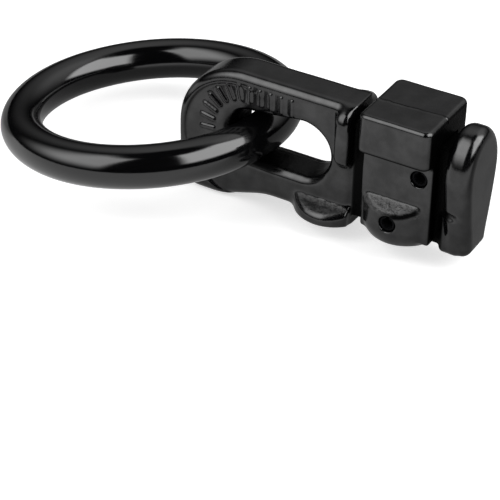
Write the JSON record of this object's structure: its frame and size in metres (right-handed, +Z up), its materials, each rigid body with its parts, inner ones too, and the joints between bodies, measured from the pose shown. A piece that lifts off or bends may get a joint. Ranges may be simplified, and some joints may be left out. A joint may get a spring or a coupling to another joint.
{
  "type": "l-track double stud fitting",
  "caption": "Track fitting: a cast eye with a loose round ring, a sprung locking plunger and a joined stud foot that slides into L-section track.",
  "frame": {"origin": "centre of the footprint, at the height of the lowest point of the eye's head", "axes": "+X from the ring towards the stud foot, +Z up along the foot, which is the direction of the track, +Y across the fitting"},
  "size_m": [0.1472, 0.087, 0.0436],
  "materials": {
    "coated_casting": "glossy black coat over cast steel",
    "coated_plunger": "glossy black coat over cast steel",
    "pin_steel": "blackened",
    "spring_steel": "bright spring wire",
    "coated_ring": "glossy black coat over forged steel"
  },
  "bodies": {
    "casting": {"body_casting": "coated_casting", "upper_spring": "spring_steel", "lower_spring": "spring_steel"},
    "plunger_set": {"plunger": "coated_plunger", "upper_roll_pin": "pin_steel", "lower_roll_pin": "pin_steel"},
    "ring_body": {"ring": "coated_ring"}
  },
  "joints": [
    {"name": "plunger_slide", "type": "slide", "parent": "casting", "child": "plunger_set", "axis": [-1, 0, 0], "range_m": [0, 0.0034], "stiffness_N_per_m": 2000, "springref_m": -0.004, "deforming": ["upper_spring", "lower_spring"]},
    {"name": "ring_swing", "type": "hinge", "parent": "casting", "child": "ring_body", "pos_m": [0.007, 0, 0.0215], "axis": [0, 1, 0], "range_deg": [-4, 190]}
  ]
}
